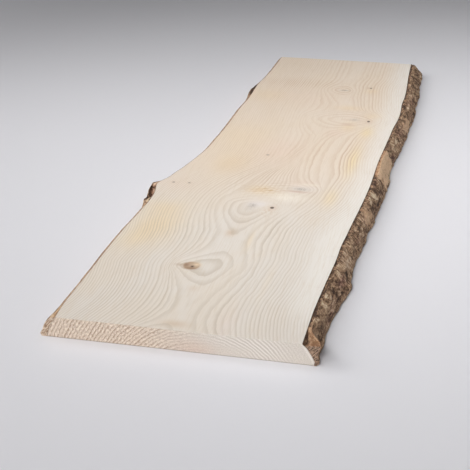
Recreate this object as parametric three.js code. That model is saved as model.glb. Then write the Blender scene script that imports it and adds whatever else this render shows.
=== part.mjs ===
// A silver fir live edge board: one plank of wood with the tree's bark left on both long edges.
// Millimetres, +Z up, X across the board, Y along it from the near cut end to the far one.
import * as THREE from 'three';
import { ImprovedNoise } from 'three/addons/math/ImprovedNoise.js';

// Driving dimensions.
const LENGTH = 1100;
const THICKNESS = 24;
const STATIONS = 125;
const BARK_GAP = 0.3;
const RIGHT_BARK = 5;
const LEFT_BARK_FOOT = 4.5;
const LEFT_BARK_RIM = 1.3;
const LEFT_SPREAD = 8;

// Edge lines, each point as [distance from the near end, distance across from the near bottom left corner].
const LEFT_TOP_EDGE = smoothLine([
  [0, 9.5], [15, 8.3], [30, 7.4], [45, 7.2], [60, 7.4], [90, 7.9], [150, 8.2], [190, 8.3],
  [230, 9.2], [256, 10.2], [283, 12], [310, 13.2], [328, 14], [346, 14.1], [359, 13.7],
  [372, 12.4], [385, 10], [396, 7.2], [405, 7], [412, 9.8], [420, 13.6], [431, 17.4], [448, 20.6],
  [461, 24], [475, 27.2], [500, 32], [529, 37], [557, 40.6], [585, 42.4], [614, 43.6], [644, 45],
  [690, 46], [744, 46.5], [780, 47.2], [810, 49], [844, 49.4], [881, 48.6], [912, 48.4],
  [930, 50], [944, 52], [1000, 55], [LENGTH, 57],
]);
const RIGHT_TOP_EDGE = smoothLine([
  [0, 275.5], [36, 275.6], [75, 276], [112, 277.5], [144, 279], [209, 282.5], [245, 283],
  [281, 285.5], [321, 288], [361, 291], [450, 296], [547, 297.5], [600, 300], [657, 303],
  [714, 305.5], [754, 309], [792, 310], [842, 308.5], [884, 310], [927, 309.5], [1000, 307],
  [LENGTH, 305],
]);
const RIGHT_BARK_FOOT = smoothLine([
  [0, 291], [40, 291.5], [77, 292], [120, 296], [150, 299.5], [166, 302], [199, 301.5],
  [265, 302], [303, 305.5], [341, 306.5], [377, 310.5], [424, 312.5], [516, 316], [591, 316],
  [646, 320], [700, 324], [764, 327.5], [796, 329], [863, 330], [897, 328.5], [950, 331],
  [1007, 328], [LENGTH, 326],
]);

// The wane: how far the edge stands out of its top line, as a share of the spread at the underside,
// at each share of the thickness.
const WANE = [[0, 1], [0.15, 1.12], [0.5, 0.78], [0.8, 0.42], [1, 0]];
const WANE_LEVELS = WANE.map(([level]) => level);
const waneShare = smoothLine(WANE);

// The branch collar on the left edge: a hollow stub, lined with bark.
const COLLAR = { start: 326, middle: 378, end: 411, depth: 8, bite: 0.65 };
const COLLAR_WIDTH = smoothLine([
  [COLLAR.start, 0], [331, 3], [337, 6.2], [345, 8], [351, 7.6], [359, 6.6], [367, 8], [376, 9.4],
  [386, 9.6], [396, 7.2], [406, 5.2], [COLLAR.end, 0],
]);
const RIM_SHARE = 0.72;
const PIT_SHARE = 0.35;

// The lump of bark that is left near the far end of the left edge.
const TUFT = { middle: 874, reach: 46, out: 5.5 };

// How much thicker or thinner the bark is where the near end cuts it.
const NEAR_END = { reach: 38, leftRim: 4.1, leftFoot: 3, leftSpread: 1.5, rightRim: 13.5, rightFoot: -2 };

// Places on the right flank where the outer bark has flaked off the inner bark.
const FLAKES = [
  { middle: 22, reach: 26, level: 0.55, height: 0.5 },
  { middle: 566, reach: 52, level: 0.55, height: 0.55 },
  { middle: 770, reach: 38, level: 0.35, height: 0.35 },
];
const FLAKE_DEPTH = 1.9;

// The knob of loose bark low on the right flank.
const KNOB = { middle: 182, reach: 16, level: 0.18, height: 0.3, out: 3.5 };

// The bark's relief.
const LUMP = { length: 30, height: 0.7, size: 1 };
const PLATE = { length: 15, height: 0.42, size: 1.5, edge: 0.12 };
const OUTER_LEVELS = [1, 0.88, 0.74, 0.58, 0.42, 0.27, 0.13, 0];
const RIM_DROP = 0.4;
const LEFT_RIM_DROP = 0.8;

const noise = new ImprovedNoise();

function smoothLine(points) {
  const along = points.map((point) => point[0]);
  const values = points.map((point) => point[1]);
  const curve = new THREE.CubicInterpolant(along, values, 1, new Float64Array(1));
  return (place) => curve.evaluate(place)[0];
}

// A bell of height 1 at 0 that falls to nothing at 1.
function bell(distance) {
  return 1 - THREE.MathUtils.smoothstep(Math.abs(distance), 0, 1);
}

// A flat-topped patch of height 1 with a short slope at its rim.
function patch(y, level, place) {
  const along = (y - place.middle) / place.reach;
  const up = (level - place.level) / place.height;
  return 1 - THREE.MathUtils.smoothstep(Math.hypot(along, up), 0.75, 1);
}

// Lumps and plates that stand out of the bark, different for each side's seed.
function barkRelief(y, level, seed) {
  const lumps = noise.noise(y / LUMP.length, level / LUMP.height, seed);
  const plates = noise.noise(y / PLATE.length, level / PLATE.height, seed + 5.5);
  const ledge = THREE.MathUtils.smoothstep(plates, -PLATE.edge, PLATE.edge);
  return LUMP.size * lumps + PLATE.size * (ledge - 0.5);
}

// How far the collar's hollow is open at this place: 1 at its middle, 0 at its ends.
function collarOpening(y) {
  return bell((y - COLLAR.middle) / (COLLAR.end - COLLAR.middle));
}

// How near the near end is: 1 at the cut, 0 beyond its reach.
function nearEnd(y) {
  return bell(y / NEAR_END.reach);
}

function leftSpread(y) {
  return LEFT_SPREAD + NEAR_END.leftSpread * nearEnd(y);
}

// The left flank before the hollow under the collar is taken out of it.
function leftFlank(y, level) {
  return LEFT_TOP_EDGE(y) - leftSpread(y) * waneShare(level);
}

function leftWood(y, level) {
  const bite = COLLAR.bite * collarOpening(y) * THREE.MathUtils.smoothstep(level, 0.3, 0.6);
  return leftFlank(y, level) + leftSpread(y) * waneShare(level) * bite;
}

function rightWood(y, level) {
  const top = RIGHT_TOP_EDGE(y);
  const spread = RIGHT_BARK_FOOT(y) - RIGHT_BARK - NEAR_END.rightFoot * nearEnd(y) - top;
  return top + spread * waneShare(level);
}

// How much of the collar stands at this place: nothing outside its two ends.
function collarWidth(y) {
  return y > COLLAR.start && y < COLLAR.end ? COLLAR_WIDTH(y) : 0;
}

function leftBarkThickness(y, level) {
  const tuft = TUFT.out * bell((y - TUFT.middle) / TUFT.reach);
  const rim = LEFT_BARK_RIM + NEAR_END.leftRim * nearEnd(y) + collarWidth(y) + tuft;
  const foot = LEFT_BARK_FOOT + NEAR_END.leftFoot * nearEnd(y);
  const fullness = THREE.MathUtils.lerp(foot, rim, level ** 2);
  const relief = barkRelief(y, level, 2.5) * Math.min(1, (fullness / 6) ** 2);
  return Math.max(fullness + relief, LEFT_BARK_RIM * 0.8);
}

function rightBarkThickness(y, level) {
  const flaked = FLAKES.reduce((most, place) => Math.max(most, patch(y, level, place)), 0);
  const relief = barkRelief(y, level, 8.5) * (1 - flaked);
  const knob = KNOB.out * bell(Math.hypot((y - KNOB.middle) / KNOB.reach, (level - KNOB.level) / KNOB.height));
  const end = THREE.MathUtils.lerp(NEAR_END.rightFoot, NEAR_END.rightRim, level ** 1.5) * nearEnd(y);
  return RIGHT_BARK + end + relief - FLAKE_DEPTH * flaked + knob;
}

// The plank's section at one place along it, anticlockwise as seen from the near end.
function woodSection(y) {
  const right = WANE_LEVELS.map((level) => new THREE.Vector2(rightWood(y, level), level * THICKNESS));
  const left = WANE_LEVELS.map((level) => new THREE.Vector2(leftWood(y, level), level * THICKNESS));
  return [...right, ...left.reverse()];
}

// The right bark's section: up its outer face, then down the face against the wood.
function rightBarkSection(y) {
  const outer = OUTER_LEVELS.map((level) => {
    const x = rightWood(y, level) + BARK_GAP + rightBarkThickness(y, level);
    return new THREE.Vector2(x, level * THICKNESS - RIM_DROP * level ** 8);
  });
  const inner = WANE_LEVELS.map((level) => (
    new THREE.Vector2(rightWood(y, level) + BARK_GAP, level * THICKNESS)
  ));
  return [...outer.reverse(), ...inner.reverse()];
}

// The left bark's section: up the face against the wood, over the rim, which opens into a hollow at
// the collar, and down its outer face.
function leftBarkSection(y) {
  const inner = WANE_LEVELS.map((level) => (
    new THREE.Vector2(leftWood(y, level) - BARK_GAP, level * THICKNESS)
  ));
  const outer = OUTER_LEVELS.map((level) => {
    const x = leftFlank(y, level) - BARK_GAP - leftBarkThickness(y, level);
    return new THREE.Vector2(x, level * THICKNESS - LEFT_RIM_DROP * level ** 8 * (1 - nearEnd(y)));
  });
  const edge = inner[inner.length - 1];
  const rim = outer[0];
  const hollow = [PIT_SHARE, RIM_SHARE].map((share) => {
    const point = edge.clone().lerp(rim, share);
    point.y -= COLLAR.depth * collarOpening(y);
    return point;
  });
  return [...inner, ...hollow, ...outer];
}

// A closed body through the sections at equal steps along the board, capped flat at both ends. Each
// four-sided place is split along one diagonal: the bark's leans back, so that it meets the wood's.
function loft(section, leansBack) {
  const rings = [];
  for (let i = 0; i <= STATIONS; i += 1) {
    const y = (LENGTH * i) / STATIONS;
    rings.push(section(y).map((point) => new THREE.Vector3(point.x, y, point.y)));
  }
  const count = rings[0].length;
  const positions = rings.flat().flatMap((point) => point.toArray());
  const faces = [];
  for (let ring = 0; ring < STATIONS; ring += 1) {
    for (let i = 0; i < count; i += 1) {
      const a = ring * count + i;
      const b = ring * count + ((i + 1) % count);
      if (leansBack) {
        faces.push(a, a + count, b, b, a + count, b + count);
      } else {
        faces.push(a, a + count, b + count, a, b + count, b);
      }
    }
  }
  const near = THREE.ShapeUtils.triangulateShape(section(0), []);
  const far = THREE.ShapeUtils.triangulateShape(section(LENGTH), []);
  const last = STATIONS * count;
  near.forEach(([a, b, c]) => faces.push(a, b, c));
  far.forEach(([a, b, c]) => faces.push(last + a, last + c, last + b));
  const geometry = new THREE.BufferGeometry();
  geometry.setAttribute('position', new THREE.Float32BufferAttribute(positions, 3));
  geometry.setIndex(faces);
  geometry.computeVertexNormals();
  return geometry;
}

function woodMaterial() {
  return new THREE.MeshStandardMaterial({ color: 0xe0d4c2, roughness: 0.7, metalness: 0 });
}

function barkMaterial() {
  return new THREE.MeshStandardMaterial({ color: 0x75604f, roughness: 0.95, metalness: 0 });
}

function piece(name, section, material, leansBack) {
  const mesh = new THREE.Mesh(loft(section, leansBack), material);
  mesh.name = name;
  return mesh;
}

const plank = new THREE.Group();
plank.add(piece('board', woodSection, woodMaterial(), false));
plank.add(piece('bark_left', leftBarkSection, barkMaterial(), true));
plank.add(piece('bark_right', rightBarkSection, barkMaterial(), true));

// The origin is the middle of the underside.
const middle = new THREE.Box3().setFromObject(plank).getCenter(new THREE.Vector3());
plank.position.set(-middle.x, -middle.y, 0);

const object = new THREE.Group();
object.add(plank);

export default object;
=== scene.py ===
"""The looks of a silver fir live edge board: grained wood, rough bark on both edges, and a pale studio."""

import math

import bmesh
import bpy
import numpy as np
from bpy.props import FloatProperty, FloatVectorProperty, PointerProperty
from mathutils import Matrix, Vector, noise
from mathutils.bvhtree import BVHTree


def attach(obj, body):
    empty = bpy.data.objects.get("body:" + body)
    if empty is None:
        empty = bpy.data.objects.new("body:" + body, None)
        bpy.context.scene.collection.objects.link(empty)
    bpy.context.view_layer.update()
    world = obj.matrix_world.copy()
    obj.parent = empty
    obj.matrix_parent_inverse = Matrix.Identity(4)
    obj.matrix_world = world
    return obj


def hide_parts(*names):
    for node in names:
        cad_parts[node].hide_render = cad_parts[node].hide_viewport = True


bl_info = {
    "name": "Silver fir live edge board",
    "version": (1, 0, 0),
    "blender": (4, 5, 0),
    "location": "View3D > Sidebar > Live edge board",
    "description": "Builds the wood, the bark and the studio of a live edge board",
    "category": "Object",
}

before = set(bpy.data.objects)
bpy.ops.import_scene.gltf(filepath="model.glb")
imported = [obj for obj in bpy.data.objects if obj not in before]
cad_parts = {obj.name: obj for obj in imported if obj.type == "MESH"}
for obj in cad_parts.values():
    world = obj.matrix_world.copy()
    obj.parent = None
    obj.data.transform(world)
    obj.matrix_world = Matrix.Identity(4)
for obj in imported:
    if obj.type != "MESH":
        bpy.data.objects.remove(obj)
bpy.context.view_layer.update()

# The board's own ruler is in millimetres: x across and y along from the wood's near bottom left corner.
LENGTH = 1100
THICKNESS = 24
BARK_GAP = 0.3

# The branch collar on the left edge: its middle and end along the board, its hollow's depth, and the
# shares of the way out from the wood between which the hollow is deepest.
COLLAR_MIDDLE, COLLAR_END = 378, 411
COLLAR_DEPTH = 8
COLLAR_SHARES = (0.35, 0.72)


# Numbers


def tone(red, green, blue):
    """A colour as it is read off a screen, from 0 to 255, made linear for the shaders."""
    channels = [value / 255 for value in (red, green, blue)]
    linear = [c / 12.92 if c <= 0.04045 else ((c + 0.055) / 1.055) ** 2.4 for c in channels]
    return (*linear, 1.0)


def step(value, low, high):
    """0 below low, 1 above high, with a smooth rise between them."""
    share = np.clip((value - low) / (high - low), 0, 1)
    return share * share * (3 - 2 * share)


def bell(distance):
    """A bell of height 1 at 0 that falls to nothing at 1."""
    return 1 - step(abs(distance), 0, 1)


def smoothed(values, reach):
    """Values along the board, each averaged with its neighbours, the ends kept."""
    kernel = np.hanning(2 * reach + 3)[1:-1]
    kernel /= kernel.sum()
    padded = np.pad(values, ((reach, reach), (0, 0)), mode="reflect", reflect_type="odd")
    columns = [np.convolve(column, kernel, mode="valid") for column in padded.T]
    return np.array(columns).T


# Reading the CAD


class Skin:
    """The outside of one CAD node, read by level rays from one side."""

    def __init__(self, node, side):
        shell = bmesh.new()
        shell.from_mesh(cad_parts[node].data)
        bmesh.ops.remove_doubles(shell, verts=shell.verts, dist=1e-6)
        self.tree = BVHTree.FromBMesh(shell)
        self.side = side
        shell.free()

    def reach(self, y, z):
        """The skin's x in the CAD's frame at a place along and a height, in millimetres."""
        inside_y = min(max(y, 0.2), LENGTH - 0.2) - LENGTH / 2
        inside_z = min(max(z, 0.05), THICKNESS - 0.05)
        start = Vector((self.side, inside_y / 1000, inside_z / 1000))
        hit = self.tree.ray_cast(start, Vector((-self.side, 0, 0)))[0]
        if hit is None:
            raise RuntimeError(f"no skin at {y:.1f} mm along and {z:.1f} mm up")
        return hit.x * 1000

    def across(self, y, z):
        """How far across the board the skin lies, on the board's own ruler."""
        return self.reach(y, z) - CORNER.x

    def table(self, stations, heights):
        """The skin at every station and height. Heights may differ from station to station."""
        rows = np.broadcast_to(heights, (len(stations), np.shape(heights)[-1]))
        return np.array([[self.across(y, z) for z in row] for y, row in zip(stations, rows)])


CORNER = Vector((Skin("board", -1).reach(0, 0), -LENGTH / 2, 0))


# Making meshes

# The flat maps: slack round a section, the gap between two lengths in millimetres, and how full they get.
MAP_SLACK = 1.04
MAP_GAP = 4
MAP_FILL = 0.8
# On the map: its margin, the share for the lengths, and the row of the cut ends, their starts and scale.
MAP_MARGIN, MAP_SHARE = 0.004, 0.9
END_ROW, END_STARTS, END_SCALE = 0.95, (0.02, 0.52), 1.3


def closed_strip(name, stations, across, heights):
    """A closed body whose section at each station is the ring of points (across, heights)."""
    along, around = len(stations) - 1, across.shape[1]
    body = bmesh.new()
    bmesh.ops.create_grid(body, x_segments=around, y_segments=along, size=1)
    turns = body.verts.layers.int.new("turn")
    for vert in body.verts:
        turn = round((vert.co.x + 1) / 2 * around)
        station = round((vert.co.y + 1) / 2 * along)
        vert[turns] = turn
        point = turn % around
        place = Vector((across[station, point], stations[station], heights[station, point]))
        vert.co = (place + CORNER) / 1000
    add_map(body, turns, stations, across, heights)
    bmesh.ops.remove_doubles(body, verts=body.verts, dist=1e-7)
    bmesh.ops.holes_fill(body, edges=[edge for edge in body.edges if edge.is_boundary], sides=0)
    map_ends(body, around)
    bmesh.ops.recalc_face_normals(body, faces=body.faces)
    mesh = bpy.data.meshes.new(name)
    body.to_mesh(mesh)
    body.free()
    piece = bpy.data.objects.new(name, mesh)
    bpy.context.scene.collection.objects.link(piece)
    return piece


def add_map(body, turns, stations, across, heights):
    """Rolls the strip out flat on a map, cut into as many lengths as fill it best."""
    middle = len(stations) // 2
    ring = np.column_stack([across[middle], heights[middle]])
    edges = np.linalg.norm(np.roll(ring, -1, axis=0) - ring, axis=1)
    girth = np.concatenate([[0], np.cumsum(edges)]) * MAP_SLACK
    row = girth[-1] + MAP_GAP
    lengths = max(1, round(math.sqrt(LENGTH / row * MAP_FILL)))
    size = LENGTH / lengths
    layer = body.loops.layers.uv.new("OFBake")
    for face in body.faces:
        middle_y = face.calc_center_median().y * 1000 - CORNER.y
        length = min(int(middle_y / size), lengths - 1)
        for loop in face.loops:
            y = loop.vert.co.y * 1000 - CORNER.y
            u = (y - length * size) / size
            v = (girth[loop.vert[turns]] + MAP_GAP / 2 + length * row) / size
            loop[layer].uv = (MAP_MARGIN + (1 - 2 * MAP_MARGIN) * u, MAP_MARGIN + MAP_SHARE * v)


def map_ends(body, around):
    """Puts the two cut ends on the map's top strip."""
    layer = body.loops.layers.uv.active
    ends = [face for face in body.faces if len(face.verts) == around]
    for face in ends:
        start = END_STARTS[face.calc_center_median().y > 0]
        low = min(vert.co.x for vert in face.verts)
        for loop in face.loops:
            point = loop.vert.co
            loop[layer].uv = (start + (point.x - low) * END_SCALE, END_ROW + point.z * END_SCALE)


def finish_piece(piece, node, material, sharp):
    """Shades a piece, gives it its material and lets it stand for its CAD node."""
    for polygon in piece.data.polygons:
        polygon.use_smooth = True
    piece.data.set_sharp_from_angle(angle=math.radians(sharp))
    piece.data.materials.append(material)
    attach(piece, "root")
    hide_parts(node)


def keep_value(piece, name, values):
    """Keeps one number for each point of the mesh, for the material to read."""
    attribute = piece.data.attributes.new(name, "FLOAT", "POINT")
    attribute.data.foreach_set("value", np.asarray(values, np.float32))


# Shader maths


class Signal:
    """A shader socket that takes part in sums, so that a mask can be written as one."""

    def __init__(self, paint, socket):
        self.paint = paint
        self.socket = socket

    def __add__(self, other):
        return self.paint.math("ADD", self, other)

    def __sub__(self, other):
        return self.paint.math("SUBTRACT", self, other)

    def __rsub__(self, other):
        return self.paint.math("SUBTRACT", other, self)

    def __mul__(self, other):
        return self.paint.math("MULTIPLY", self, other)

    def __truediv__(self, other):
        return self.paint.math("DIVIDE", self, other)

    def __gt__(self, other):
        return self.paint.math("GREATER_THAN", self, other)

    def __lt__(self, other):
        return self.paint.math("LESS_THAN", self, other)

    def __neg__(self):
        return self.paint.math("MULTIPLY", self, -1)

    __radd__ = __add__


class Paint:
    """One material's node tree, with a Principled shader at its end."""

    def __init__(self, name):
        self.material = bpy.data.materials.new(name)
        self.material.use_nodes = True
        self.tree = self.material.node_tree
        self.tree.nodes.clear()
        self.shader = self.node("BsdfPrincipled")
        output = self.node("OutputMaterial")
        self.tree.links.new(self.shader.outputs[0], output.inputs["Surface"])

    def node(self, kind, settings=None, inputs=None):
        """Adds a shader node, sets it up, then gives its sockets their values or links."""
        node = self.tree.nodes.new("ShaderNode" + kind)
        for key, value in (settings or {}).items():
            if key == "stops":
                self.set_stops(node.color_ramp, value)
            elif key == "points":
                self.set_points(node.mapping, value)
            else:
                setattr(node, key, value)
        for key, value in (inputs or {}).items():
            if isinstance(value, Signal):
                self.tree.links.new(value.socket, node.inputs[key])
            else:
                node.inputs[key].default_value = value
        return node

    @staticmethod
    def set_stops(ramp, stops):
        """Gives a colour ramp its places and screen tones."""
        while len(ramp.elements) < len(stops):
            ramp.elements.new(0.5)
        for element, (position, colour) in zip(ramp.elements, stops):
            element.position = position
            element.color = tone(*colour)

    @staticmethod
    def set_points(mapping, points):
        curve = mapping.curves[0]
        while len(curve.points) < len(points):
            curve.points.new(0.5, 0.5)
        for point, place in zip(curve.points, points):
            point.location = place
            point.handle_type = "AUTO_CLAMPED"
        mapping.update()

    def math(self, operation, *values):
        node = self.node("Math", {"operation": operation}, dict(enumerate(values)))
        return Signal(self, node.outputs[0])

    def places(self):
        """Object coordinates on the board's own ruler, in millimetres."""
        coordinates = self.node("TexCoord")
        split = self.node("SeparateXYZ", inputs={0: Signal(self, coordinates.outputs["Object"])})
        x, y, z = (Signal(self, output) * 1000 for output in split.outputs)
        return x - CORNER.x, y - CORNER.y, z

    def vector(self, x, y, z):
        return Signal(self, self.node("CombineXYZ", inputs={0: x, 1: y, 2: z}).outputs[0])

    def noise(self, x, y, z, detail=2.0, roughness=0.5):
        """Noise from 0 to 1 whose grain is about one unit."""
        inputs = {"Vector": self.vector(x, y, z), "Scale": 1.0, "Detail": detail, "Roughness": roughness}
        node = self.node("TexNoise", inputs=inputs)
        return Signal(self, node.outputs[0])

    def dice(self, value):
        """A random number from 0 to 1 for each value."""
        node = self.node("TexWhiteNoise", {"noise_dimensions": "1D"}, {"W": value})
        return Signal(self, node.outputs["Value"])

    def ramp(self, value, low, high, start=0.0, end=1.0):
        """From start to end, smoothly, while value goes from low to high."""
        inputs = {0: value, 1: low, 2: high, 3: start, 4: end}
        node = self.node("MapRange", {"interpolation_type": "SMOOTHSTEP"}, inputs)
        return Signal(self, node.outputs[0])

    def limit(self, value, low, high):
        return self.math("MINIMUM", self.math("MAXIMUM", value, low), high)

    def curve(self, value, points, low, high):
        """A line through points that lie from 0 to LENGTH along and from low to high."""
        places = [(along / LENGTH, (height - low) / (high - low)) for along, height in points]
        node = self.node("FloatCurve", {"points": places}, {"Value": value / LENGTH})
        return Signal(self, node.outputs[0]) * (high - low) + low

    def spot(self, x, y, centre, reach):
        """A round or oval patch that fades out from its centre."""
        across = (x - centre[0]) / reach[0]
        along = (y - centre[1]) / reach[1]
        return self.math("EXPONENT", -(across * across + along * along))

    def spots(self, x, y, places):
        """Several patches added up. Each is centre x, centre y, reach x, reach y, strength."""
        total = 0
        for cx, cy, rx, ry, strength in places:
            total = self.spot(x, y, (cx, cy), (rx, ry)) * strength + total
        return total

    def blend(self, factor, first, second):
        """From the first colour to the second, each a signal or a screen tone."""
        pair = [each if isinstance(each, Signal) else tone(*each) for each in (first, second)]
        node = self.node("Mix", {"data_type": "RGBA"}, {0: factor, 6: pair[0], 7: pair[1]})
        return Signal(self, node.outputs[2])

    def attribute(self, name):
        node = self.node("Attribute", {"attribute_name": name})
        return Signal(self, node.outputs["Fac"])

    def finish(self, colour, roughness, height, depth):
        """Links colour, roughness and a height in millimetres to the shader."""
        inputs = {"Strength": 1.0, "Distance": depth / 1000, "Height": height}
        bump = self.node("Bump", None, inputs)
        self.tree.links.new(colour.socket, self.shader.inputs["Base Color"])
        self.tree.links.new(roughness.socket, self.shader.inputs["Roughness"])
        self.tree.links.new(bump.outputs[0], self.shader.inputs["Normal"])
        return self.material


# The wood

# Ring lines on the top face, read off the photo: distance along, distance across.
FAR_LEFT_LINE = [
    (0, 82), (18, 87), (31, 91), (50, 95), (73, 97), (100, 96), (134, 91), (155, 88), (177, 90),
    (197, 93), (221, 94), (249, 92), (270, 88), (300, 84), (335, 82), (370, 84), (400, 89), (430, 98),
    (453, 108), (481, 124), (518, 141), (560, 147), (667, 147), (786, 143), (892, 151), (1000, 158),
    (1100, 160),
]
LEFT_LINE = [
    (0, 99), (17, 109), (37, 117), (53, 120), (75, 119), (104, 114), (127, 108), (154, 100), (165, 101),
    (178, 108), (193, 115), (211, 120), (236, 123), (256, 123), (275, 118), (306, 110), (332, 106),
    (354, 105), (380, 109), (403, 115), (427, 124), (450, 131), (473, 139), (498, 151), (532, 170),
    (570, 181), (610, 190), (640, 190), (665, 180), (690, 169), (711, 166), (744, 167), (769, 182),
    (787, 198), (810, 201), (840, 193), (870, 180), (903, 173), (925, 176), (950, 188), (1000, 193),
    (1100, 190),
]
RIGHT_LINE = [
    (0, 169), (21, 162), (42, 160), (74, 163), (102, 169), (131, 175), (154, 182), (172, 184),
    (208, 178), (242, 172), (272, 174), (290, 178), (320, 186), (350, 196), (380, 203), (410, 206),
    (440, 204), (468, 197), (502, 193), (540, 190), (574, 189), (610, 193), (641, 200), (670, 213),
    (690, 236), (704, 252), (720, 264), (750, 270), (775, 256), (795, 240), (840, 232), (880, 226),
    (908, 222), (940, 222), (1000, 230), (1100, 228),
]
MIDDLE_RIGHT_LINE = [
    (0, 189), (20, 184), (40, 181), (61, 182), (91, 187), (123, 192), (148, 196), (185, 196),
    (213, 194), (243, 193), (267, 195), (290, 197), (306, 200), (340, 210), (359, 216), (391, 226),
    (418, 230), (440, 224), (468, 212), (508, 207), (544, 207), (575, 209), (608, 212), (642, 218),
    (670, 232), (690, 248), (716, 267), (750, 275), (779, 262), (795, 250), (859, 240), (929, 238),
    (1000, 243), (1100, 242),
]
FAR_RIGHT_LINE = [
    (0, 203), (18, 199), (41, 196), (60, 195), (86, 196), (102, 199), (130, 202), (151, 204),
    (190, 208), (221, 206), (253, 207), (283, 208), (301, 212), (325, 217), (342, 223), (359, 229),
    (391, 237), (418, 240), (450, 243), (479, 246), (519, 242), (558, 240), (593, 243), (630, 246),
    (660, 250), (690, 260), (716, 272), (745, 280), (775, 272), (795, 262), (859, 255), (929, 250),
    (1000, 257), (1100, 257),
]

# Where each line would be across a straight trunk, counted from the line over its pith.
TRACED_LINES = [
    (FAR_LEFT_LINE, -46.3), (LEFT_LINE, -22.2), (RIGHT_LINE, 22.2), (MIDDLE_RIGHT_LINE, 35.1),
    (FAR_RIGHT_LINE, 46.3),
]
# The span across the board that holds all five lines.
LINE_SPAN = (60, 300)
# The pith below the top face, and the radius of the ring that the widths are counted from.
PITH_DROP = 87.1
FIRST_RING = 86.6

# Ring widths outwards from there: one wide ring, a zone of narrow ones, then even ones. The next two are
# the widths inwards. The offset keeps the count above zero.
WIDE_RING = 2.8
NARROW_ZONE, NARROW_RING = 6.1, 2.03
EVEN_RING = 2.72
INNER_RING, DEEP_RING = 2, 3
COUNT_OFFSET = 60

# The pith that the arcs on the sawn ends run round, and their spacing.
END_PITH_ACROSS, END_PITH_BELOW = 168, 62
END_RING = 3.7

# The right edge of the top face: distance along, distance across.
RIGHT_EDGE = [(0, 276), (250, 283), (400, 293), (800, 309), (1100, 305)]

# Swellings that knots push up in the rings: place across a straight trunk, place along, reach to the left,
# right, near end and far end, and height.
SWELLINGS = [
    (-9, -8, 16, 12, 20, 20, 3.2),
    (-2, 158, 24, 15, 38, 32, 4.3),
    (-16, 154, 5, 4, 8, 8, 3),
    (1, 350, 16, 16, 59, 25, 8.1),
    (14, 348, 5, 5, 9, 9, 4),
    (22, 421, 9, 9, 14, 14, 5),
    (7, 738, 26, 20, 32, 28, 9),
    (18, 736, 5, 5, 8, 8, 4),
    (6, 902, 20, 16, 18, 18, 6),
    (43, 923, 3, 3, 8, 8, 2.5),
]

# Patches of colour: place across, place along, reach across, reach along, strength.
YELLOW_PATCHES = [
    (45, 262, 34, 52, 0.5), (30, 212, 20, 30, 0.25), (90, 500, 28, 45, 0.28), (80, 620, 42, 70, 0.22),
    (40, 322, 24, 25, 0.3), (152, 408, 18, 14, 0.35), (250, 392, 11, 32, 0.25), (236, 700, 12, 22, 0.3),
    (225, 800, 22, 14, 0.3), (80, 850, 30, 34, 0.2), (270, 765, 16, 16, 0.25), (252, 905, 10, 14, 0.3),
    (171, 240, 4, 34, 0.25), (214, 130, 4, 50, 0.12),
]
LEMON_PATCHES = [(262, 545, 9, 62, 0.5), (268, 680, 10, 26, 0.45), (250, 400, 10, 26, 0.2)]
PINK_PATCHES = [
    (150, 570, 34, 55, 0.35), (150, 850, 60, 60, 0.2), (205, 445, 20, 14, 0.3), (35, 400, 30, 22, 0.2),
    (190, 20, 12, 40, 0.2), (218, 665, 14, 22, 0.3),
]
BROWN_PATCHES = [
    (144, 258, 7, 11, 0.6), (137, 14, 15, 8, 0.5), (150, 300, 12, 22, 0.15), (136, 98, 6, 8, 0.3),
]
# Where the ring lines are stronger or paler than elsewhere.
STRONG_LINES = [
    (205, 570, 20, 110, 0.3), (252, 560, 16, 95, 1.1), (225, 420, 26, 60, 0.15), (255, 880, 22, 120, 0.5),
    (120, 930, 90, 26, 1.0), (200, 880, 26, 50, 0.4), (80, 60, 60, 60, 0.2), (225, 60, 30, 80, 0.15),
    (264, 40, 18, 30, 0.35), (264, 380, 16, 60, 0.5), (108, 480, 26, 50, 0.6), (75, 250, 30, 35, 0.35),
    (200, 275, 14, 35, 0.4), (95, 860, 30, 50, 0.3),
]
PALE_LINES = [
    (105, 300, 40, 50, 0.1), (190, 120, 30, 90, 0.1), (190, 392, 30, 16, 0.4), (262, 230, 20, 130, 0.4),
    (162, 378, 34, 13, 0.6), (190, 345, 20, 24, 0.5), (169, 346, 8, 18, 0.5), (165, 480, 26, 60, 0.35),
    (150, 700, 90, 170, 0.3), (165, 900, 60, 70, 0.2), (285, 400, 16, 30, 0.2),
]
# The knots: grey stars, small black branch ends, and the brown eye.
GREY_STARS = [
    (152, 351, 6, 7, 0.85), (205, 421, 10, 6, 0.85), (241, 740, 7, 7, 0.5), (204, 901, 8, 3.5, 0.9),
    (150, 338, 8, 9, 0.3),
]
BRANCH_ENDS = [
    (179, 348, 2.8, 3.6, 0.9), (264, 736, 2.4, 4, 0.9), (248, 924, 2, 3.4, 0.7), (28, 410, 2.2, 2.2, 0.5),
    (50, 412, 2, 2, 0.5), (135, 547, 2.5, 3, 0.35),
]
EYE_PLACE = (119.5, 155)

# Sections along the wood, and the shares of its height at which the waney edges are read.
WOOD_STATIONS = 501
WANE_LEVELS = np.array([0, 0.15, 0.5, 0.8, 1])
ARRIS_METRES = 0.0003


def straightened(paint, x, y):
    """Where a place would be across a straight trunk."""
    lines = [(paint.curve(y, points, *LINE_SPAN), home) for points, home in TRACED_LINES]
    first, last = lines[0], lines[-1]
    before = paint.math("MINIMUM", x - first[0], 0)
    after = paint.math("MAXIMUM", x - last[0], 0)
    place = before + after + first[1]
    for (low, low_home), (high, high_home) in zip(lines, lines[1:]):
        share = paint.limit((x - low) / (high - low), 0, 1)
        place = place + share * (high_home - low_home)
    return place


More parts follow.
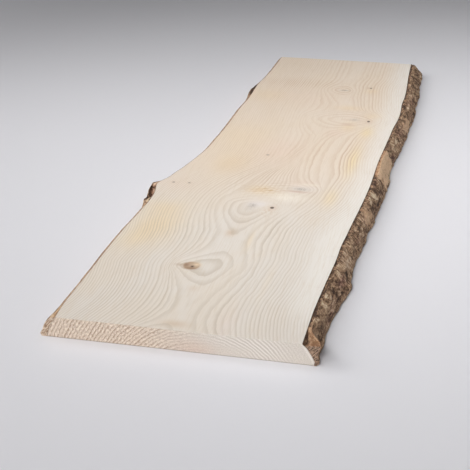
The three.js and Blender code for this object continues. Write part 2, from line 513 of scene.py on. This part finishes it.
def ring_radius(paint, x, y, z):
    """How far out from the pith a place lies, with the swellings of the knots taken off."""
    out = straightened(paint, x, y)
    drop = z + (PITH_DROP - THICKNESS)
    radius = paint.math("SQRT", out * out + drop * drop)
    level = out * PITH_DROP / drop
    for cx, cy, left, right, near, far, height in SWELLINGS:
        across = (level - cx) / ((level > cx) * (right - left) + left)
        along = (y - cy) / ((y > cy) * (far - near) + near)
        radius = radius - paint.math("EXPONENT", -(across * across + along * along)) * height
    return radius


def ring_count(paint, radius):
    """The number of the ring at a radius: wide rings, then narrow, then even ones."""
    out = radius - FIRST_RING
    inner = paint.limit(-out, 0, INNER_RING) / INNER_RING
    deep = paint.math("MAXIMUM", -out - INNER_RING, 0) / DEEP_RING
    first = paint.limit(out, 0, WIDE_RING) / WIDE_RING
    second = paint.limit(out - WIDE_RING, 0, NARROW_ZONE) / NARROW_RING
    rest = paint.math("MAXIMUM", out - (WIDE_RING + NARROW_ZONE), 0) / EVEN_RING
    return first + second + rest - inner - deep + COUNT_OFFSET


def late_wood(paint, rings):
    """The dark late part of each year's ring, stronger in some years than in others."""
    share = paint.math("FRACT", rings)
    year = paint.dice(paint.math("FLOOR", rings))
    late = paint.ramp(share, 0.3, 0.9) * paint.ramp(share, 0.9, 1.0, 1.0, 0.0)
    return late * (year * 0.5 + 0.5)


def end_radius(paint, x, z):
    """How far a place on a cut end lies from the pith below it."""
    across, drop = x - END_PITH_ACROSS, z + END_PITH_BELOW
    return paint.math("SQRT", across * across + drop * drop)


def wood_material(look):
    """Planed fir: pale wood and its patches, then the ring lines, fibres, knots and sawn ends."""
    paint = Paint("fir_wood")
    x, y, z = paint.places()
    wander = (paint.noise(x / 40, y / 90, z / 40, 2) - 0.5) * 1.4
    ripple = (paint.noise(x / 8, y / 20, z / 8, 2) - 0.5) * 0.8
    radius = ring_radius(paint, x, y, z)
    rings = ring_count(paint, radius + wander + ripple)
    late = late_wood(paint, rings)
    fibres = paint.noise(x / 1.3, y / 32, z / 1.3, 3, 0.6)
    fine = paint.noise(x / 0.35, y / 9, z / 0.35, 2, 0.6)
    far = paint.ramp(y, 250, 560)
    white = paint.ramp(paint.curve(y, RIGHT_EDGE, 200, 400) - x, 6, 50, 1.0, 0.0)

    colour = early_wood(paint, look, x, y, z, far, white)
    contrast = paint.spots(x, y, STRONG_LINES) - paint.spots(x, y, PALE_LINES) + (0.62 - white * 0.4)
    strength = paint.limit(late * contrast * look.contrast, 0, 1)
    line = paint.blend(far, look.line, (206, 178, 150))
    colour = paint.blend(strength, colour, line)
    streaks = paint.noise(rings * 2.6, y / 90, 0, 2, 0.6)
    colour = paint.blend(paint.ramp(streaks, 0.5, 0.75) * 0.16, colour, line)
    colour = fine_lines(paint, x, y, wander, colour)
    colour = paint.blend(paint.ramp(fibres, 0.45, 0.75) * 0.3, colour, (204, 184, 158))
    colour = brown_eye(paint, x, y, colour)
    colour = star_knots(paint, x, y, colour)
    colour = branch_ends(paint, x, y, colour)
    colour = sawn_end(paint, x, y, z, colour)
    roughness = 0.62 + fine * 0.12 - late * 0.05
    height = fibres * 0.5 + late * 0.4 + fine * 0.3
    return paint.finish(colour, roughness, height, 0.05)


def early_wood(paint, look, x, y, z, far, white):
    """The wood between the ring lines: warmer far off, patched, and white on the right."""
    cloud = paint.noise(x / 50, y / 120, z / 50, 3)
    colour = paint.blend(far, look.pale, look.warm)
    colour = paint.blend(paint.ramp(cloud, 0.35, 0.65) * 0.25, colour, (226, 208, 184))
    patches = [
        (YELLOW_PATCHES, look.yellow), (LEMON_PATCHES, (240, 216, 148)),
        (PINK_PATCHES, (230, 203, 188)), (BROWN_PATCHES, (204, 176, 146)),
    ]
    for places, shade in patches:
        colour = paint.blend(paint.spots(x, y, places), colour, shade)
    colour = paint.blend(paint.spot(x, y, (270, 10), (34, 50)) * 0.4, colour, (206, 194, 184))
    return paint.blend(white * paint.ramp(y, 10, 90, 0.35, 0.8), colour, (233, 228, 221))


def fine_lines(paint, x, y, wander, colour):
    """The fine lines past the second knot, the wavy yellow ones below them, and a painted sheen near the
    knots.
    """
    flow = late_wood(paint, (straightened(paint, x, y) + wander) / 3.2 + 40)
    zone = paint.spot(x, y, (158, 465), (30, 62)) + paint.spot(x, y, (178, 560), (10, 60)) * 0.5
    colour = paint.blend(flow * zone * 0.85, colour, (196, 168, 142))
    swing = paint.noise(x / 9, y / 12, 8, 1) * 14
    waves = late_wood(paint, (y + swing - x * 0.2) / 6.2 + 20)
    colour = paint.blend(waves * paint.spot(x, y, (158, 407), (28, 14)), colour, (198, 162, 108))
    colour = paint.blend(waves * paint.spot(x, y, (178, 432), (26, 22)) * 0.5, colour, (200, 176, 150))
    sheen = paint.ramp(paint.noise(x / 1.4, y / 14, 6, 2), 0.4, 0.6)
    return paint.blend(sheen * paint.spot(x, y, (192, 386), (20, 14)) * 0.7, colour, (244, 236, 226))


def sawn_end(paint, x, y, z, colour):
    """The two cut ends: browner, rough from the saw, with coarser rings, and a painted shadow line along
    their foot.
    """
    depth = paint.math("MINIMUM", y, LENGTH - y)
    end = paint.ramp(depth, 0.15, 0.5, 1, 0)
    left = paint.ramp(x, 90, 190, 1, 0)
    level = end_radius(paint, x, z) + (paint.noise(x / 14, z / 14, 2, 1) - 0.5) * 4
    stripes = late_wood(paint, level / END_RING) * paint.ramp(x, 100, 195, 1, 0)
    torn = paint.noise(level / 1.3, (x + z) / 5, 5, 2, 0.6)
    speckle = paint.noise(x / 1.3, z / 1.1, 9, 3, 0.7)
    raw = paint.blend(left, (205, 196, 186), (214, 196, 178))
    pink = paint.spot(x, z, (162, 5), (24, 9))
    raw = paint.blend(pink * 0.5, raw, (206, 178, 162))
    raw = paint.blend(stripes * 0.95, raw, (140, 106, 80))
    raw = paint.blend(paint.ramp(torn, 0.52, 0.64) * left * 0.45, raw, (150, 118, 94))
    raw = paint.blend(paint.ramp(torn, 0.48, 0.36) * left * 0.6, raw, (246, 234, 216))
    raw = paint.blend(paint.ramp(speckle, 0.5, 0.66) * 0.45, raw, (236, 228, 218))
    raw = paint.blend(paint.ramp(speckle, 0.5, 0.34) * 0.3, raw, (162, 144, 130))
    comb = paint.spot(x, z, (238, 12), (24, 16)) + paint.spot(x, z, (205, 18), (24, 6)) * 0.8
    teeth = paint.math("SINE", level * 1.85) * 0.5 + 0.5
    raw = paint.blend(teeth * comb * 0.6, raw, (240, 234, 227))
    raw = paint.blend((1 - teeth) * comb * 0.4, raw, (166, 152, 140))
    raw = paint.blend(paint.ramp(x + z * 0.6, 288, 290) * 0.4, raw, (238, 229, 222))
    # Painted shadow: a dark line along the foot of each sawn end, where it meets the floor.
    raw = paint.blend(paint.ramp(z, 0.5, 1.1, 0.6, 0), raw, (128, 112, 100))
    return paint.blend(end, colour, raw)


def brown_eye(paint, x, y, colour):
    """The knot near the end: a brown eye with a dark lower rim and a tail."""
    dx, dy = x - EYE_PLACE[0], y - EYE_PLACE[1]
    wave = (paint.noise(x / 5, y / 6, 0, 2) - 0.5) * 3
    away = paint.math("SQRT", dx * dx + dy * dy * 0.95) + wave
    tail = paint.spot(x, y, (106, 155), (7, 3.5))
    colour = paint.blend(paint.ramp(away, 8, 14, 0.4, 0), colour, (214, 184, 150))
    colour = paint.blend(tail * 0.45, colour, (176, 144, 112))
    colour = paint.blend(paint.ramp(away, 8.5, 11, 0.62, 0), colour, (166, 132, 102))
    colour = paint.blend(paint.spot(x, y, (125, 159), (4.5, 4)) * 0.9, colour, (228, 206, 176))
    lower = paint.spot(x, y, (120, 148), (8, 3.2)) + paint.spot(x, y, (113, 156), (3, 5))
    colour = paint.blend(lower * 0.5, colour, (116, 80, 56))
    return paint.blend(paint.spot(x, y, (121, 153), (1.8, 2.2)), colour, (66, 42, 30))


def star_knots(paint, x, y, colour):
    """The pale knots: light wood, a streaked patch, grey stars and reddish rims."""
    pale = paint.spot(x, y, (158, 357), (16, 11)) + paint.spot(x, y, (206, 424), (20, 13)) * 0.5
    colour = paint.blend(pale * 0.75, colour, (233, 225, 221))
    streaked = paint.ramp(paint.noise(x / 2, y / 7, 4, 2), 0.45, 0.65)
    zone = paint.spot(x, y, (176, 334), (13, 15))
    colour = paint.blend(streaked * zone * 0.5, colour, (206, 178, 150))
    crack = paint.ramp(paint.noise(x / 1.8, y / 6, 3, 3, 0.7), 0.35, 0.7, 0.35, 1.0)
    for cx, cy, rx, ry, grey in GREY_STARS:
        patch = paint.spot(x, y, (cx, cy), (rx, ry)) * crack
        colour = paint.blend(patch * grey, colour, (164, 150, 140))
    rim = paint.spot(x, y, (203, 411), (15, 3)) + paint.spot(x, y, (232, 714), (10, 5)) * 0.7
    colour = paint.blend(rim * 0.6, colour, (198, 162, 140))
    light = paint.spot(x, y, (192, 388), (24, 13)) + paint.spot(x, y, (214, 440), (16, 4))
    return paint.blend(light * 0.5, colour, (238, 228, 212))


def branch_ends(paint, x, y, colour):
    """Small black ends of branches, each in a brown halo."""
    for cx, cy, rx, ry, dark in BRANCH_ENDS:
        halo = paint.spot(x, y, (cx, cy), (rx * 2.6, ry * 2.4))
        colour = paint.blend(halo * 0.35 * dark, colour, (200, 166, 130))
        dot = paint.ramp(paint.spot(x, y, (cx, cy), (rx, ry)), 0.25, 0.6, 0, dark)
        colour = paint.blend(dot, colour, (70, 48, 36))
    return colour


def wood_strip():
    """The wood's section all along the board: wane, top face, wane and underside."""
    stations = np.linspace(0, LENGTH, WOOD_STATIONS)
    fine = np.linspace(0, 1, 13)
    sides = []
    for side in (1, -1):
        coarse = smoothed(Skin("board", side).table(stations, WANE_LEVELS * THICKNESS), 4)
        sides.append(np.array([np.interp(fine, WANE_LEVELS, row) for row in coarse]))
    right, left = sides
    share = np.linspace(0, 1, 15)[1:-1]
    top = right[:, -1:] + (left[:, -1:] - right[:, -1:]) * share
    foot = left[:, :1] + (right[:, :1] - left[:, :1]) * share
    across = np.hstack([right, top, left[:, ::-1], foot])
    rise = fine * THICKNESS
    flat = np.ones(len(share))
    heights = np.concatenate([rise, flat * THICKNESS, rise[::-1], flat * 0])
    return stations, across, np.broadcast_to(heights, across.shape)


# The bark

# The seed of the noise that warps the plates, so that every run gives the same bark.
BARK_SEED = 8
# Where in the noise each strip's relief lies.
RIGHT_LAYER, LEFT_LAYER = 8.5, 2.5
# Sections along each strip, and how thin in millimetres the relief may make it.
BARK_STATIONS = 1001
RIGHT_THINNEST, LEFT_THINNEST = 1, 0.9
# A mark is left out beyond this many reaches.
MARK_LIMIT = 2.2
# How far the right bark's rim lies below the board's top face.
RIM_DROP = 0.5
# The notch in that rim beside the wood: its middle and reach along the board, and its depth.
NOTCH_MIDDLE, NOTCH_REACH, NOTCH_DEPTH = 14, 22, 3
# How far along the board the left bark's near end is bare and level with the top face.
LEFT_END_REACH = 38

# Marks on the right bark, read off the photo: place along, height, reach along, reach up, how light.
BARK_MARKS = [
    (7, 24.5, 8, 1.2, -0.6), (38, 9, 6, 3, -0.5), (15, 6.5, 8, 1.5, 0.3), (8, 21, 5, 2, 0.25),
    (48, 17, 5, 3, -0.3), (62, 8, 8, 3, -0.2), (97, 20, 6, 2, 0.25), (113, 13, 15, 3.5, 0.2),
    (137, 17.5, 6, 1.3, -0.6), (132, 9.5, 7, 2, -0.6), (144, 12.5, 5, 2, 0.3), (158, 10, 8, 2, -0.3),
    (179, 20, 5, 2, 0.3), (193, 13, 4.5, 2.6, -0.85), (185, 10, 6, 2, -0.35), (217, 16, 22, 7, 0.42),
    (241, 11, 5, 2, -0.3), (285, 14, 9, 3, 0.25), (297, 20, 5, 3, -0.35), (318, 18.5, 10, 1.5, -0.4),
    (322, 13.5, 9, 1.4, 0.3), (357, 16, 13, 6, 0.3), (405, 20, 5, 2, 0.5), (396, 16, 4, 3, -0.4),
    (414, 14, 4, 3, -0.5), (429, 19, 8, 4.5, 0.95), (425, 17, 3, 1, -0.7), (433, 13, 7, 1.6, 0.4),
    (431, 9.5, 12, 1.6, -0.7), (446, 19, 5, 3, -0.35), (467, 23, 20, 1.5, -0.35), (484, 13, 5, 3, -0.2),
    (502, 14.5, 5, 1.6, -0.9), (529, 12, 5, 1.2, -0.6), (612, 10.5, 10, 2.6, -0.5),
    (645, 17, 28, 6, 0.16), (669, 16, 10, 3, 0.35), (682, 14, 4, 2, -0.6), (692, 14, 6, 3, 0.35),
    (722, 24, 14, 1.2, -0.35), (787, 20.5, 8, 1.4, -0.35), (828, 23, 20, 1.6, -0.6),
    (807, 18, 12, 1.8, -0.3), (834, 19, 12, 1.6, 0.25), (855, 20, 9, 2, 0.35), (843, 8, 16, 2, -0.4),
    (893, 18, 14, 3, 0.1), (966, 22.5, 8, 0.9, 1.1), (969, 18, 11, 2.2, -0.35),
]
RED_MARKS = [
    (81, 7.5, 7, 2.5, 0.7), (101, 8.5, 8, 2.5, 0.8), (113, 13, 16, 4, 0.3), (168, 15, 14, 4, 0.9),
    (217, 16, 17, 7, 0.3), (285, 14, 9, 3, 0.5), (357, 16, 13, 6, 0.7), (467, 23, 20, 2, 0.5),
    (612, 10.5, 11, 3, 0.8), (700, 18, 10, 4, 0.5), (720, 17, 16, 5, 0.5), (813, 11.5, 18, 3, 0.5),
    (855, 20, 9, 2.5, 0.5), (890, 16, 30, 5, 0.4),
]
# Where it has flaked off: start, end, lowest and highest point, and how light it is there.
FLAKED_PATCHES = [
    (-20, 42, -9, 33, 0.2), (492, 602, 3, 33, 0.75), (735, 793, 5, 20, 0.6), (347, 380, 9, 22, 0.3),
]
# Marks on the collar's rim: place along, share of the way out from the wood, both reaches, how light.
COLLAR_MARKS = [
    (348, 0.3, 9, 0.12, 1.1), (346, 0.04, 14, 0.08, -0.7), (345, 0.85, 9, 0.24, -0.8),
    (389, 0.35, 3, 0.3, 0.6), (404, 0.5, 4, 0.5, 0.45), (407, 0.95, 3, 0.14, -0.9),
    (376, 0.4, 14, 0.4, 0.6), (378, 0.95, 20, 0.12, -0.5), (876, 0.5, 18, 0.4, -0.7),
    (858, 0.7, 14, 0.4, -0.6), (897, 0.6, 14, 0.4, -0.7),
]
COLLAR_REDS = [(378, 0.5, 16, 0.35, 1), (400, 0.4, 10, 0.5, 0.5)]
# How much of the bark's grain stands upright along the board.
UPRIGHT_SHARE = [
    (0, -0.3), (150, -0.3), (190, 0.35), (290, 0.3), (310, -0.2), (350, 0), (390, 0.3), (490, 0.2),
    (530, -0.4),
]


def marked(y, z, marks):
    """The sum of the marks at a place."""
    total = 0.0
    for along, up, reach_along, reach_up, strength in marks:
        if abs(y - along) < MARK_LIMIT * reach_along:
            total += strength * math.exp(-(((y - along) / reach_along) ** 2) - ((z - up) / reach_up) ** 2)
    return total


def bark_relief(y, z, layer):
    """Lumps, torn plates and strokes of the outer bark: how far it stands out, and how light it is, that
    tone partly painted shade that follows the relief.
    """
    lumps = noise.fractal(Vector((y / 22, z / 12, layer)), 1, 2, 3)
    sway = noise.noise(Vector((y / 40, z / 30, layer + 7)))
    upright = float(np.interp(y, *zip(*UPRIGHT_SHARE)))
    turn = float(step(sway + upright, -0.15, 0.15))
    standing = noise.fractal(Vector(((y - 0.4 * z) / 2.4, z / 4.5, layer + 1)), 0.6, 2, 3)
    slanting = noise.fractal(Vector((y / 8, (z + 0.08 * y) / 1.4, layer + 2)), 0.6, 2, 3)
    stroke = standing * turn + slanting * (1 - turn)
    warp = noise.noise_vector(Vector((y / 9, z / 9, layer + 3))) * 0.5
    spans, centres = noise.voronoi(Vector((y / 14, z / 7, layer)) + warp)[:2]
    edge = float(step(spans[1] - spans[0], 0.02, 0.22))
    plate = noise.cell(centres[0] * 17)
    out = 0.25 * lumps + 0.35 * stroke + edge * (0.2 + 0.25 * plate) - 0.9
    # Partly the bark's own colour, partly painted shade: the tone is darker in the cracks between plates
    # and in the low strokes.
    light = 0.56 + 0.6 * stroke + 0.1 * lumps + 0.14 * (plate - 0.5) - 0.15 * (1 - edge)
    return out, light


def bark_material(look):
    """Bark in brown strokes, reddish and bare in places, and hatched where it is sawn."""
    paint = Paint("bark")
    x, y, z = paint.places()
    light = paint.attribute("light")
    flaked = paint.attribute("flaked")
    red = paint.attribute("red")
    grit = paint.noise(x / 0.9, y / 1.4, z / 0.9, 3, 0.65) - 0.5
    strokes = paint.noise(x / 3, y / 7, (z + y * 0.06) / 1.2, 2, 0.6) - 0.5
    value = light + grit * 0.6 + strokes * 1.1
    stops = [
        (0.0, (70, 50, 36)), (0.22, look.dark), (0.5, look.brown),
        (0.75, (196, 164, 131)), (1.0, (232, 212, 182)),
    ]
    ramp = paint.node("ValToRGB", {"stops": stops}, {0: value})
    colour = Signal(paint, ramp.outputs[0])
    reddish = paint.blend(value, (92, 58, 50), (196, 148, 128))
    colour = paint.blend(red * 0.8, colour, reddish)
    bare = paint.blend(value, (150, 106, 72), (232, 198, 162))
    colour = paint.blend(flaked, colour, bare)
    cut = paint.ramp(y, 0.2, 0.5, 1, 0)
    hatch = paint.ramp(paint.noise((x - z) / 1.5, 0, (x + z) / 8, 2, 0.6), 0.38, 0.62)
    brown = paint.blend(hatch, (64, 44, 34), (176, 146, 122))
    tan = paint.blend(hatch, (140, 108, 84), (222, 202, 180))
    raw = paint.blend(x < 100, brown, tan)
    colour = paint.blend(cut, colour, raw)
    roughness = 0.85 + grit * 0.1
    return paint.finish(colour, roughness, grit + strokes, 0.5)


def bare_share(y, z):
    """How far the right bark has flaked off at a place, from 0 to 1, and how light it is there."""
    edge = noise.fractal(Vector((y / 14, z / 9, 40)), 1, 2, 3)
    most, shade = 0.0, 0.0
    for start, end, low, high, light in FLAKED_PATCHES:
        inside = min((y - start) / 10, (end - y) / 10, (z - low) / 6, (high - z) / 6)
        share = float(step(inside + edge * 1.4, 0, 0.5))
        if share > most:
            most, shade = share * min(1, 0.3 + 2 * light), light
    return most, shade


def right_outer_looks(stations, levels):
    """Relief, light, bareness and redness all over the right bark's outer face."""
    relief, light, bare, red = (np.zeros((len(stations), len(levels))) for _ in range(4))
    for i, y in enumerate(stations):
        for j, level in enumerate(levels):
            z = level * THICKNESS
            out, shade = bark_relief(y, z, RIGHT_LAYER)
            bare[i, j], bare_light = bare_share(y, z)
            mark = marked(y, z, BARK_MARKS)
            relief[i, j] = out * (1 - 0.8 * bare[i, j]) + 0.7 * min(mark, 0)
            light[i, j] = shade + (bare_light - shade * 0.6) * bare[i, j] + mark
            red[i, j] = marked(y, z, RED_MARKS)
    return relief, light, bare, red


def right_bark_strip():
    """The right bark: outer face, notched rim and inner face."""
    stations = np.linspace(0, LENGTH, BARK_STATIONS)
    levels = np.linspace(0, 1, 31)
    inner_heights = WANE_LEVELS[::-1] * THICKNESS
    inner = smoothed(Skin("board", 1).table(stations, inner_heights), 8) + BARK_GAP
    outer = smoothed(Skin("bark_right", 1).table(stations, levels * (THICKNESS - RIM_DROP)), 7)
    wall = np.array([np.interp(levels, WANE_LEVELS, row[::-1]) for row in inner])
    relief, light, bare, red = right_outer_looks(stations, levels)
    outer = np.maximum(outer + relief, wall + RIGHT_THINNEST)
    waves = np.array([noise.noise(Vector((y / 6, 0, 3))) for y in stations])[:, None]
    drop = RIM_DROP - 0.35 * waves
    outer_heights = levels * (THICKNESS - drop)
    rim_share = np.linspace(0, 1, 12)[1:-1]
    rim = outer[:, -1:] + (inner[:, :1] - outer[:, -1:]) * rim_share
    rim_out, rim_light = rim_relief(stations, outer[:, -1:] - rim, RIGHT_LAYER)
    gap = step(rim_share, 0.5, 0.75) * bell((stations[:, None] - NOTCH_MIDDLE) / NOTCH_REACH)
    dents = 0.5 * np.clip(0.4 - rim_out, 0, 2)
    rim_heights = THICKNESS - drop * 0.9 - dents - NOTCH_DEPTH * gap
    rim_bare = np.array([[bare_share(y, THICKNESS)[0]] for y in stations]) * (1 - gap)
    # The rim is darker where its bark has not flaked, and darker still in the notch beside the wood, where
    # the darkening is painted shade.
    rim_light = rim_light * (1 - 0.4 * rim_bare) - 0.25 * (1 - rim_bare) - 0.4 * gap
    across = np.hstack([outer, rim, inner])
    heights = np.hstack([outer_heights, rim_heights, np.broadcast_to(inner_heights, inner.shape)])
    rest = np.zeros(inner.shape)
    looks = {
        "light": np.hstack([light, rim_light, rest + 0.1]),
        "flaked": np.hstack([bare, rim_bare, rest]),
        "red": np.hstack([red, rim_out * 0, rest]),
    }
    return stations, across, heights, looks


def rim_relief(stations, reaches, layer):
    """The bark's relief carried over its rim, at distances in from its outer edge."""
    pairs = [
        [bark_relief(y, THICKNESS + reach, layer) for reach in row] for y, row in zip(stations, reaches)
    ]
    return np.moveaxis(np.array(pairs), 2, 0)


def left_bark_strip():
    """The left bark: inner face, rim with the hollow branch collar, and outer face."""
    stations = np.linspace(0, LENGTH, BARK_STATIONS)
    levels = np.linspace(1, 0, 25)
    inner_heights = WANE_LEVELS * THICKNESS
    inner = smoothed(Skin("board", -1).table(stations, inner_heights), 8) - BARK_GAP
    near = bell(stations / LEFT_END_REACH)[:, None]
    drop = 0.8 * (1 - near) + 0.1
    outer_heights = levels * THICKNESS - drop * levels ** 8
    outer = smoothed(Skin("bark_left", -1).table(stations, outer_heights), 2)
    wall = np.array([np.interp(levels[::-1], WANE_LEVELS, row)[::-1] for row in inner])
    full = np.clip((wall - outer) / 6, 0.35, 1) ** 2
    relief = np.zeros(outer.shape)
    light = np.zeros(outer.shape)
    for i, y in enumerate(stations):
        for j, level in enumerate(levels):
            relief[i, j], light[i, j] = bark_relief(y, level * THICKNESS, LEFT_LAYER)
    outer = np.minimum(outer - relief * full * 0.8, wall - LEFT_THINNEST)
    opening = bell((stations - COLLAR_MIDDLE) / (COLLAR_END - COLLAR_MIDDLE))[:, None]
    rim_share = np.linspace(0, 1, 14)[1:-1]
    rim = inner[:, -1:] + (outer[:, :1] - inner[:, -1:]) * rim_share
    low, high = COLLAR_SHARES
    pit = step(rim_share, 0, low) * (1 - step(rim_share, high, 1))
    rim_out, rim_light = rim_relief(stations, rim - outer[:, :1], LEFT_LAYER)
    wide = np.clip((inner[:, -1:] - outer[:, :1] - 2) / 4, 0, 1)
    dents = 0.6 * np.clip(0.4 - rim_out, 0, 2) * wide
    rim_heights = THICKNESS - drop * rim_share - COLLAR_DEPTH * opening * pit - dents
    across = np.hstack([inner, rim, outer])
    heights = np.hstack([np.broadcast_to(inner_heights, inner.shape), rim_heights, outer_heights])
    marks = np.array([[marked(y, share, COLLAR_MARKS) for share in rim_share] for y in stations])
    rim_light = 0.62 + (1.2 * rim_light - 0.75) * wide + marks + 0.2 * near
    red = np.array([[marked(y, share, COLLAR_REDS) for share in rim_share] for y in stations])
    looks = {
        "light": np.hstack([np.full(inner.shape, 0.2), rim_light, light]),
        "flaked": np.hstack([inner * 0, (rim_share < 0.8) * near, outer * 0]),
        "red": np.hstack([inner * 0, red, outer * 0]),
    }
    return stations, across, heights, looks


# Settings and operators

# The lamps: name, place, aim, size, spread in degrees, power in watts. Lengths are in metres.
LAMPS = [
    ("far_left", (-2.2, -0.5, 1.3), (0.1, -0.1, 0), 1.4, 180, 26),
    ("left", (-0.9, 0.1, 1.0), (0.5, 0.2, 0), 0.8, 100, 1.96),
    ("right", (0.7, 0.4, 1.4), (0.7, 0.2, 0), 0.9, 100, 3.06),
    ("front", (-0.2, -4.0, 2.6), (0.2, 0, 0), 1.2, 180, 119),
    ("near", (-0.5, -1.3, 1.1), (0.5, 0.4, 0), 0.6, 60, 1.65),
]
AIR_COLOUR, AIR_LIGHT = (0.93, 0.95, 1.0, 1), 0.02
FLOOR_REACH = 8

# The camera: across on the board's ruler in millimetres, back and up in metres, and its level direction.
CAMERA_ACROSS, CAMERA_BACK, CAMERA_UP = 421.3, -1.5281, 0.586
CAMERA_TURN = (-0.2152, 0.9766)


def screen_tone(name, description, default):
    """A property for a colour from 0 to 255."""
    about = description + ", screen values"
    return FloatVectorProperty(name=name, description=about, default=default, size=3, min=0, max=255)


class WoodLook(bpy.types.PropertyGroup):
    """The colours of the planed wood."""

    pale: screen_tone("Early wood", "Pale wood near the thick end", (226, 218, 209))
    warm: screen_tone("Warm wood", "Warmer wood far off", (230, 215, 199))
    yellow: screen_tone("Resin yellow", "Yellow patches", (236, 208, 158))
    line: screen_tone("Late wood", "Ring lines", (186, 170, 150))
    contrast: FloatProperty(
        name="Ring contrast", description="How strongly the rings show", default=0.8, min=0, max=1,
        subtype="FACTOR",
    )


class BarkLook(bpy.types.PropertyGroup):
    """The colours of the bark."""

    dark: screen_tone("Dark bark", "Cracks", (114, 86, 64))
    brown: screen_tone("Brown bark", "Plates", (163, 130, 101))


class StudioLook(bpy.types.PropertyGroup):
    """The studio's floor colour and camera."""

    floor: screen_tone("Floor", "The floor's colour", (225, 224, 228))
    lens: FloatProperty(name="Lens", description="Focal length", default=85, min=20, max=300, unit="CAMERA")
    pitch: FloatProperty(
        name="Camera tilt", description="Angle of the view below level", default=math.radians(24.05),
        min=0, max=1.5, unit="ROTATION",
    )


class FIR_OT_board(bpy.types.Operator):
    """Builds the planed wood with its two waney edges"""

    bl_idname = "fir.board"
    bl_label = "Wood"

    def execute(self, context):
        piece = closed_strip("wood", *wood_strip())
        material = wood_material(context.scene.fir_wood)
        finish_piece(piece, "board", material, sharp=30)
        edge = piece.modifiers.new("arris", "BEVEL")
        edge.width = ARRIS_METRES
        edge.segments = 2
        edge.limit_method = "ANGLE"
        edge.angle_limit = math.radians(40)
        return {"FINISHED"}


class FIR_OT_bark(bpy.types.Operator):
    """Builds the strips of bark on both edges"""

    bl_idname = "fir.bark"
    bl_label = "Bark"

    def execute(self, context):
        noise.seed_set(BARK_SEED)
        material = bark_material(context.scene.fir_bark)
        strips = [
            ("right_bark", "bark_right", right_bark_strip), ("left_bark", "bark_left", left_bark_strip),
        ]
        for name, node, make in strips:
            stations, across, heights, looks = make()
            piece = closed_strip(name, stations, across, heights)
            self.keep_looks(piece, stations, across, looks)
            finish_piece(piece, node, material, sharp=70)
        return {"FINISHED"}

    @staticmethod
    def keep_looks(piece, stations, across, looks):
        """Finds each vertex's own place in the tables by the order of the grid."""
        around = across.shape[1]
        last = len(stations) - 1
        rows = [round((v.co.y * 1000 - CORNER.y) / LENGTH * last) for v in piece.data.vertices]
        seen = {}
        turns = []
        for vertex, row in zip(piece.data.vertices, rows):
            turns.append(seen.get(row, 0) % around)
            seen[row] = seen.get(row, 0) + 1
        for name, table in looks.items():
            keep_value(piece, name, table[rows, turns])


class FIR_OT_studio(bpy.types.Operator):
    """Builds the pale floor, the soft lights and the camera"""

    bl_idname = "fir.studio"
    bl_label = "Studio"

    def execute(self, context):
        scene = context.scene
        scene.view_settings.view_transform = "Standard"
        floor = self.floor(scene.fir_studio)
        self.sky(scene)
        for each in LAMPS:
            self.lamp(*each)
        self.camera(scene)
        return {"FINISHED"}

    @staticmethod
    def floor(look):
        sheet = bmesh.new()
        bmesh.ops.create_grid(sheet, x_segments=2, y_segments=2, size=FLOOR_REACH)
        mesh = bpy.data.meshes.new("floor")
        sheet.to_mesh(mesh)
        sheet.free()
        floor = bpy.data.objects.new("floor", mesh)
        bpy.context.scene.collection.objects.link(floor)
        paint = Paint("studio_floor")
        paint.shader.inputs["Base Color"].default_value = tone(*look.floor)
        paint.shader.inputs["Roughness"].default_value = 0.6
        mesh.materials.append(paint.material)
        return floor

    @staticmethod
    def sky(scene):
        world = bpy.data.worlds.new("studio_air")
        scene.world = world
        world.use_nodes = True
        background = world.node_tree.nodes["Background"]
        background.inputs["Color"].default_value = AIR_COLOUR
        background.inputs["Strength"].default_value = AIR_LIGHT

    @staticmethod
    def lamp(name, place, aim, size, spread, power):
        data = bpy.data.lights.new(name, "AREA")
        data.shape = "DISK"
        data.size = size
        data.spread = math.radians(spread)
        data.energy = power
        lamp = bpy.data.objects.new(name, data)
        lamp.location = place
        lamp.rotation_euler = (Vector(aim) - Vector(place)).to_track_quat("-Z", "Y").to_euler()
        bpy.context.scene.collection.objects.link(lamp)

    @staticmethod
    def camera(scene):
        look = scene.fir_studio
        data = bpy.data.cameras.new("photo_camera")
        data.lens = look.lens
        data.sensor_width = 36
        camera = bpy.data.objects.new("photo_camera", data)
        camera.location = ((CAMERA_ACROSS + CORNER.x) / 1000, CAMERA_BACK, CAMERA_UP)
        level = math.cos(look.pitch)
        aim = Vector((CAMERA_TURN[0] * level, CAMERA_TURN[1] * level, -math.sin(look.pitch)))
        camera.rotation_euler = aim.to_track_quat("-Z", "Y").to_euler()
        scene.collection.objects.link(camera)
        scene.camera = camera


class FIR_PT_panel(bpy.types.Panel):
    """Lists the board's settings and the buttons that build it"""

    bl_label = "Live edge board"
    bl_idname = "FIR_PT_panel"
    bl_space_type = "VIEW_3D"
    bl_region_type = "UI"
    bl_category = "Live edge board"

    def draw(self, context):
        layout = self.layout
        for group in (context.scene.fir_wood, context.scene.fir_bark, context.scene.fir_studio):
            for name in group.__annotations__:
                layout.prop(group, name)
        for operator in (FIR_OT_board, FIR_OT_bark, FIR_OT_studio):
            layout.operator(operator.bl_idname)


CLASSES = (WoodLook, BarkLook, StudioLook, FIR_OT_board, FIR_OT_bark, FIR_OT_studio, FIR_PT_panel)


def register():
    for each in CLASSES:
        bpy.utils.register_class(each)
    bpy.types.Scene.fir_wood = PointerProperty(type=WoodLook)
    bpy.types.Scene.fir_bark = PointerProperty(type=BarkLook)
    bpy.types.Scene.fir_studio = PointerProperty(type=StudioLook)


def unregister():
    del bpy.types.Scene.fir_studio
    del bpy.types.Scene.fir_bark
    del bpy.types.Scene.fir_wood
    for each in reversed(CLASSES):
        bpy.utils.unregister_class(each)


def main():
    """Builds the board and its studio."""
    register()
    bpy.ops.fir.board()
    bpy.ops.fir.bark()
    bpy.ops.fir.studio()


if __name__ == "__main__":
    main()
